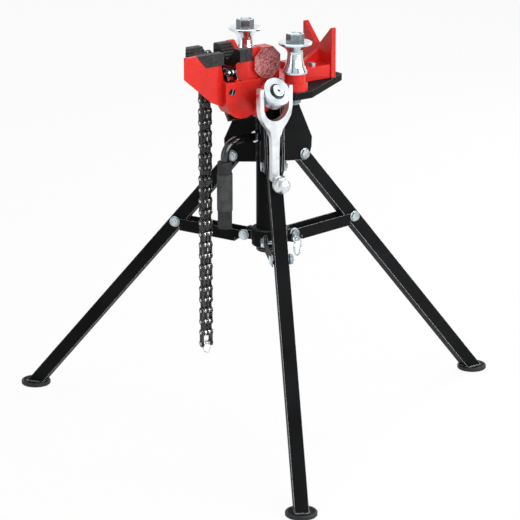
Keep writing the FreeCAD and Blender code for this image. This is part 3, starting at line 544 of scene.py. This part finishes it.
for side in ("front", "rear"):
    head = finished[f"bender_bolt_{side}"]
    top = max(v.co.z for v in head.data.vertices)
    edit_selected(head, "FACE", lambda face: faces_up(face, top - TOP_SKIN, FLAT_UP))
    bpy.ops.mesh.inset(thickness=DISH_RIM, depth=0)
    bpy.ops.mesh.inset(thickness=DISH_SLOPE, depth=-DISH_DEPTH)
    leave_edit()
    bright_faces = second_finish(head, bright_zinc, lambda face: faces_up(face, top - TOP_BAND, LEANS_UP))
    print("bright faces of the", side, "head", bright_faces)

# %% [markdown]
# ## Washers
# Every bolt of the linkage has a pressed washer under its head and its nut, wider than the hexagon. One is
# modelled on the rear leg as a disc whose faces are inset and raised a little, with a rounded rim, and then
# copied to each bolt end, each copy with its own mesh.

# %% Washers of the linkage bolts
WASHER_RADIUS, WASHER_THICKNESS, WASHER_ROUNDING = 0.0123, 0.0018, 0.0003
DISC_INSET, DISC_RISE = 0.0012, 0.0003
RIM_ANGLE = math.radians(50)
ADDED_ANGLE = math.radians(35)
QUAD = 4


def settle(obj, name, body, finish):
    """Apply the object's place to its mesh, name it, give it its finish and hang it on a body."""
    select_only(obj)
    bpy.ops.object.transform_apply(location=True, rotation=True, scale=True)
    obj.name = name
    obj.data.materials.clear()
    obj.data.materials.append(finish)
    bpy.ops.object.shade_smooth_by_angle(angle=ADDED_ANGLE)
    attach(obj, body)


def turned_copy(obj, angle, shift):
    """A copy with its own mesh, shifted and then turned about the post."""
    twin = obj.copy()
    twin.data = obj.data.copy()
    turn = Matrix.Rotation(math.radians(angle), 4, "Z")
    twin.data.transform(turn @ Matrix.Translation(shift) @ obj.matrix_world)
    twin.matrix_world = Matrix.Identity(4)
    bpy.context.scene.collection.objects.link(twin)
    return twin


bpy.ops.mesh.primitive_cylinder_add(vertices=36, radius=WASHER_RADIUS, depth=WASHER_THICKNESS,
                                    rotation=(math.radians(90), 0, 0))
washer = bpy.context.active_object
edit_selected(washer, "FACE", lambda face: len(face.vertices) > QUAD)
bpy.ops.mesh.inset(thickness=DISC_INSET, depth=DISC_RISE)
leave_edit()
finish_with(washer, "BEVEL", width=WASHER_ROUNDING, segments=2, limit_method="ANGLE", angle_limit=RIM_ANGLE)
# The bolts' node, their distance out from the post and height, and half the width of what they clamp.
bolt_groups = {
    "pivot": ("leg_pivot_bolts", (0.080, 0.612), 0.0212),
    "collar": ("collar_bolts", (0.054, 0.432), 0.0190),
    "brace": ("brace_bolt_{}", (0.22388, 0.44294), 0.0187),
}
washer_count = 0
for group, (node_name, (out, height), face_y) in bolt_groups.items():
    for place_name, angle in LEG_ANGLES.items():
        for end, sign in (("head", -1), ("nut", 1)):
            y = sign * (face_y + WASHER_THICKNESS / 2)
            twin = turned_copy(washer, angle, (out, y, height))
            body = body_of_node[node_name.format(place_name)]
            settle(twin, f"washer_{group}_{place_name}_{end}", body, washer_zinc)
            washer_count += 1
bpy.data.objects.remove(washer)
print("washers", washer_count)

# %% [markdown]
# ## Weld beads
# The gusset plates are welded to the post, the lugs to the collar and each leg to its foot plate. A bead is
# a row of overlapping puddles about 2 mm apart, so one small ball is repeated along the seam by an Array
# modifier. The bead is then dipped with the rest, so it takes the black enamel.

# %% Weld beads
PUDDLE_STEP = 0.0023


def weld(name, start, end, radius, body):
    """A bead of overlapping puddles from start to end."""
    count = max(2, round((end - start).length / PUDDLE_STEP))
    bpy.ops.mesh.primitive_uv_sphere_add(segments=8, ring_count=5, radius=radius, location=start)
    bead = bpy.context.active_object
    finish_with(bead, "ARRAY", count=count, use_relative_offset=False, use_constant_offset=True,
                constant_offset_displace=(end - start) / (count - 1))
    settle(bead, name, body, black_enamel)


def around_post(point, angle):
    return Matrix.Rotation(math.radians(angle), 3, "Z") @ Vector(point)


# Each upright seam: out from the post, to the side, its two heights, the bead's radius and the node.
upright_seams = {
    "gusset": (0.0214, 0.0218, (0.606, 0.738), 0.0030, "leg_gussets"),
    "lug": (0.0372, 0.0160, (0.4235, 0.4405), 0.0018, "slide_collar"),
}
FOOT_CENTRE, FOOT_LENGTH_HALF, FOOT_WIDTH_HALF, FOOT_HEIGHT = 0.5932, 0.0197, 0.0150, 0.0095
FOOT_BEAD_RADIUS = 0.0022
bead_count = 0
for place_name, angle in LEG_ANGLES.items():
    for side, sign in (("left", 1), ("right", -1)):
        for kind, (out, across, heights, radius, node_name) in upright_seams.items():
            low, high = (around_post((out, sign * across, z), angle) for z in heights)
            weld(f"weld_{kind}_{place_name}_{side}", low, high, radius, body_of_node[node_name])
            bead_count += 1
    corners = [around_post((FOOT_CENTRE + a * FOOT_LENGTH_HALF, b * FOOT_WIDTH_HALF, FOOT_HEIGHT), angle)
               for a, b in ((-1, -1), (1, -1), (1, 1), (-1, 1))]
    for index, start in enumerate(corners):
        end = corners[(index + 1) % len(corners)]
        weld(f"weld_foot_{place_name}_{index}", start, end,
             FOOT_BEAD_RADIUS, body_of_node[f"foot_plate_{place_name}"])
        bead_count += 1
print("weld beads", bead_count)

# %% [markdown]
# ## The screw's thread
# Between the hub and the casting a length of the screw is bare, and its thread shows. The profile is one
# tooth, and a Screw modifier winds it up the axis, which tilts back into the casting by 35 degrees.

# %% Thread of the crank screw
CREST, ROOT, THREAD_PITCH, BARE_FROM, BARE_TO = 0.0080, 0.0067, 0.0030, 0.010, 0.100
CREST_START, CREST_END = 0.35 * THREAD_PITCH, 0.55 * THREAD_PITCH
STEPS_PER_TURN = 20
HAIR = 1e-6
SEAM_MERGE = 0.00001
bpy.ops.mesh.primitive_plane_add(size=THREAD_PITCH, location=(0, 0, 0))
thread = bpy.context.active_object
# The plane's corners come in rows, so the tooth's ends are its first two and the crest its last two.
tooth = [(ROOT, 0), (ROOT, THREAD_PITCH), (CREST, CREST_START), (CREST, CREST_END)]
for vertex, (radius, height) in zip(thread.data.vertices, tooth):
    vertex.co = (radius, 0, height)


def along_root(edge):
    """The edge that would close the tooth along the screw's core."""
    return all(thread.data.vertices[i].co.x < ROOT + HAIR for i in edge.vertices)


edit_selected(thread, "FACE", lambda face: True)
bpy.ops.mesh.delete(type="ONLY_FACE")
leave_edit()
edit_selected(thread, "EDGE", along_root)
bpy.ops.mesh.delete(type="EDGE")
leave_edit()
turns = round((BARE_TO - BARE_FROM) / THREAD_PITCH)
finish_with(thread, "SCREW", axis="Z", screw_offset=THREAD_PITCH, iterations=turns, steps=STEPS_PER_TURN,
            render_steps=STEPS_PER_TURN, use_merge_vertices=True, use_smooth_shade=False)
edit_selected(thread, "FACE", lambda face: True)
bpy.ops.mesh.remove_doubles(threshold=SEAM_MERGE)
bpy.ops.mesh.fill_holes(sides=0)
bpy.ops.mesh.normals_make_consistent(inside=False)
leave_edit()
lay_over = screw_axis.to_track_quat("Z", "Y").to_matrix().to_4x4()
thread.matrix_world = Matrix.Translation(HUB_CENTRE + screw_axis * BARE_FROM) @ lay_over
settle(thread, "crank_screw_threaded", body_of_node["crank_screw"], bright_zinc)
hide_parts("crank_screw")
print("thread turns", turns, "faces", len(thread.data.polygons))

# %% [markdown]
# ## The knurled grip
# The grip is a rubber sleeve with a band of diamond knurl in the middle, which the fingers feel without
# looking. A cylinder's side is cut into rows, each square is poked to a centre point, and dissolving the
# old edges leaves diamonds, which are inset and raised. Its two ends are rounded, and the tops of the
# diamonds take the paler rubber.

# %% Knurled grip
GRIP_RADIUS, GRIP_LOW, GRIP_HIGH, GRIP_X = 0.0175, 0.4700, 0.6210, -0.122
BAND_LOW, BAND_HIGH, AROUND = 0.508, 0.596, 16
DIAMOND_RISE, DIAMOND_BORDER, GRIP_END_ROUNDING = 0.0014, 0.0011, 0.0035
KNURL_TOP_REACH = GRIP_RADIUS - 0.3 * DIAMOND_RISE
END_ANGLE = math.radians(60)
UPRIGHT = 0.1
ON_LEVEL = 1e-5
bpy.ops.mesh.primitive_cylinder_add(vertices=AROUND, radius=GRIP_RADIUS - DIAMOND_RISE,
                                    depth=GRIP_HIGH - GRIP_LOW, location=(0, 0, 0))
grip = bpy.context.active_object
middle = (GRIP_LOW + GRIP_HIGH) / 2
row_height = 2 * math.pi * GRIP_RADIUS / AROUND
rows = round((BAND_HIGH - BAND_LOW) / row_height)
row_levels = [BAND_LOW + (BAND_HIGH - BAND_LOW) * row / rows - middle for row in range(rows + 1)]
for level in row_levels:
    edit_selected(grip, "FACE", lambda face: True)
    bpy.ops.mesh.bisect(plane_co=(0, 0, level), plane_no=(0, 0, 1))
    leave_edit()


def in_band(face):
    return abs(face.normal.z) < UPRIGHT and row_levels[0] < face.center.z < row_levels[-1]


def old_edge(edge):
    """An edge of the squares inside the band, not of the rims nor one that runs to a poked centre."""
    heights = [grip.data.vertices[i].co.z for i in edge.vertices]
    on_rows = all(min(abs(z - level) for level in row_levels) < ON_LEVEL for z in heights)
    on_a_rim = any(all(abs(z - rim) < ON_LEVEL for z in heights) for rim in (row_levels[0], row_levels[-1]))
    return on_rows and not on_a_rim


edit_selected(grip, "FACE", in_band)
bpy.ops.mesh.poke()
leave_edit()
edit_selected(grip, "EDGE", old_edge)
bpy.ops.mesh.dissolve_edges(use_verts=False)
leave_edit()
finish_with(grip, "CAST", cast_type="CYLINDER", factor=1.0, use_z=False, use_radius_as_size=False,
            size=GRIP_RADIUS - DIAMOND_RISE)
edit_selected(grip, "FACE", lambda face: len(face.vertices) == QUAD and in_band(face))
bpy.ops.mesh.inset(thickness=DIAMOND_BORDER, depth=DIAMOND_RISE, use_individual=True)
leave_edit()
finish_with(grip, "BEVEL", width=GRIP_END_ROUNDING, segments=3, limit_method="ANGLE", angle_limit=END_ANGLE)
grip.location = (GRIP_X, 0, middle)
settle(grip, "handle_grip_knurled", body_of_node["handle_grip"], moulded_rubber)
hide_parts("handle_grip")


def on_diamond_top(face):
    reach = math.hypot(face.center.x - GRIP_X, face.center.y)
    return reach > KNURL_TOP_REACH and BAND_LOW < face.center.z < BAND_HIGH


print("diamond tops", second_finish(grip, pale_knurl_rubber, on_diamond_top))
print("grip faces", len(grip.data.polygons), "rows", rows)

# %% [markdown]
# ## The floor
# A plain pale sheet lies under the feet. The camera sees it nearly white, by mixing in some plain emission
# for camera and reflection rays only, so it lights nothing and still shows the soft shadows of the feet.

# %% Floor
def seen_directly(tree):
    """1 for camera, mirror and glass rays, 0 for the rays that light the object."""
    path = add(tree, "ShaderNodeLightPath")
    first = add(tree, "ShaderNodeMath", {"operation": "MAXIMUM"},
                _0=path.outputs["Is Camera Ray"], _1=path.outputs["Is Glossy Ray"])
    both = add(tree, "ShaderNodeMath", {"operation": "MAXIMUM"},
               _0=first.outputs["Value"], _1=path.outputs["Is Transmission Ray"])
    return both.outputs["Value"]


FLOOR_SIZE, FLOOR_GAP, GLOW_SHARE = 14.0, 0.0005, 0.93
bpy.ops.object.select_all(action="DESELECT")
bpy.ops.mesh.primitive_plane_add(size=FLOOR_SIZE, location=(0, 0, cad_box[0].z - FLOOR_GAP))
floor = bpy.context.active_object
floor.name = "floor"
floor_paper, tree, shader, _ = new_material("pale_paper_floor", "#f4f4f2", 0.9)
white = add(tree, "ShaderNodeEmission", Color=colour("#ffffff"), Strength=1.0)
share = add(tree, "ShaderNodeMath", {"operation": "MULTIPLY"}, _0=seen_directly(tree), _1=GLOW_SHARE)
blend = add(tree, "ShaderNodeMixShader", _0=share.outputs["Value"],
            _1=shader.outputs["BSDF"], _2=white.outputs["Emission"])
tree.links.new(blend.outputs["Shader"], tree.nodes["Material Output"].inputs["Surface"])
floor.data.materials.append(floor_paper)

# %% [markdown]
# ## Light
# Studio light for metal needs something bright to reflect and something dark beside it. A large soft box in
# front of the crank is the key, a second one from the right fills, one stands behind and one hangs above.
# Four narrow strips draw bright lines: two lying ones on the spools and bolt heads, two upright ones down
# the black tubes. The white room shows only to camera, mirror and glass rays. For mirror rays, dark and
# grey cards stand in a ring in it, and they give turned zinc its dark streaks.

# %% Lamps and room
AIM = (0, 0, 0.5)
ROOM_LIGHT = 0.29


def soft_box(name, at, width, height, watts):
    """A rectangular lamp that points at the middle of the stand."""
    lamp = bpy.data.lights.new(name, "AREA")
    lamp.shape = "RECTANGLE"
    lamp.size = width
    lamp.size_y = height
    lamp.energy = watts
    obj = bpy.data.objects.new(name, lamp)
    bpy.context.scene.collection.objects.link(obj)
    obj.location = at
    obj.rotation_euler = (Vector(AIM) - Vector(at)).to_track_quat("-Z", "Y").to_euler()


soft_box("key_front", (-0.6, -3.55, 1.8), 1.7, 1.7, 50)
soft_box("fill_right", (2.2, -2.6, 1.4), 1.4, 2.0, 12)
soft_box("rim_right", (2.8, 1.2, 2.0), 0.8, 2.2, 36)
soft_box("top", (0.2, 0.3, 3.2), 2.2, 2.2, 30)
soft_box("strip_high", (1.83, -2.24, 2.59), 1.6, 0.12, 24)
soft_box("strip_low", (1.83, -2.90, 1.08), 1.6, 0.12, 16)
soft_box("strip_left", (-3.0, 0.06, 1.2), 0.12, 1.6, 5)
soft_box("strip_right", (0.46, -2.96, 1.2), 0.12, 1.6, 13)

room = bpy.data.worlds.new("white_room")
room.use_nodes = True
bpy.context.scene.world = room
tree = room.node_tree
tree.nodes.clear()
direction = add(tree, "ShaderNodeTexCoord").outputs["Generated"]
turn = add(tree, "ShaderNodeTexGradient", {"gradient_type": "RADIAL"}, Vector=direction)
cards = ramp(tree, turn.outputs["Fac"], [
    (0.000, "#ffffff"), (0.032, "#ffffff"), (0.044, "#2c353b"), (0.074, "#2c353b"), (0.090, "#d3dde1"),
    (0.210, "#d3dde1"), (0.224, "#2c353b"), (0.256, "#2c353b"), (0.270, "#ffffff"), (0.396, "#ffffff"),
    (0.420, "#56616a"), (0.450, "#56616a"), (0.476, "#ffffff"), (0.830, "#ffffff"), (0.860, "#56616a"),
    (0.900, "#56616a"), (0.930, "#ffffff")])
path = add(tree, "ShaderNodeLightPath")
backdrop = add(tree, "ShaderNodeMix", {"data_type": "RGBA"}, _0=path.outputs["Is Glossy Ray"],
               _6=colour("#ffffff"), _7=cards)
dim = add(tree, "ShaderNodeBackground", Color=colour("#ffffff"), Strength=ROOM_LIGHT)
bright = add(tree, "ShaderNodeBackground", Color=backdrop.outputs[2], Strength=1.0)
shown = add(tree, "ShaderNodeMixShader", _0=seen_directly(tree),
            _1=dim.outputs["Background"], _2=bright.outputs["Background"])
add(tree, "ShaderNodeOutputWorld", Surface=shown.outputs["Shader"])

# %% [markdown]
# ## Camera
# The stand is seen from slightly above and from the crank side, with a long lens from nearly seven metres.

# %% Camera
AZIMUTH = math.radians(-36.175)
PITCH = math.radians(16.85)
DISTANCE = 6.668
LENS_MM, SENSOR_MM = 207.7, 36
HALF_HEIGHT = Vector((0, 0, 0.450))
SHIFT_LEFT, SHIFT_DOWN = 0.0214, 0.0726
right = Vector((math.cos(AZIMUTH), math.sin(AZIMUTH), 0))
back = Vector((math.sin(AZIMUTH) * math.cos(PITCH), -math.cos(AZIMUTH) * math.cos(PITCH), math.sin(PITCH)))
up = back.cross(right)
target = HALF_HEIGHT - right * SHIFT_LEFT - up * SHIFT_DOWN
lens = bpy.data.cameras.new("camera")
lens.lens = LENS_MM
lens.sensor_width = SENSOR_MM
camera = bpy.data.objects.new("camera", lens)
bpy.context.scene.collection.objects.link(camera)
turn = Matrix((right, up, back)).transposed().to_4x4()
camera.matrix_world = Matrix.Translation(target + back * DISTANCE) @ turn
bpy.context.scene.camera = camera
bpy.context.scene.view_settings.view_transform = "Standard"
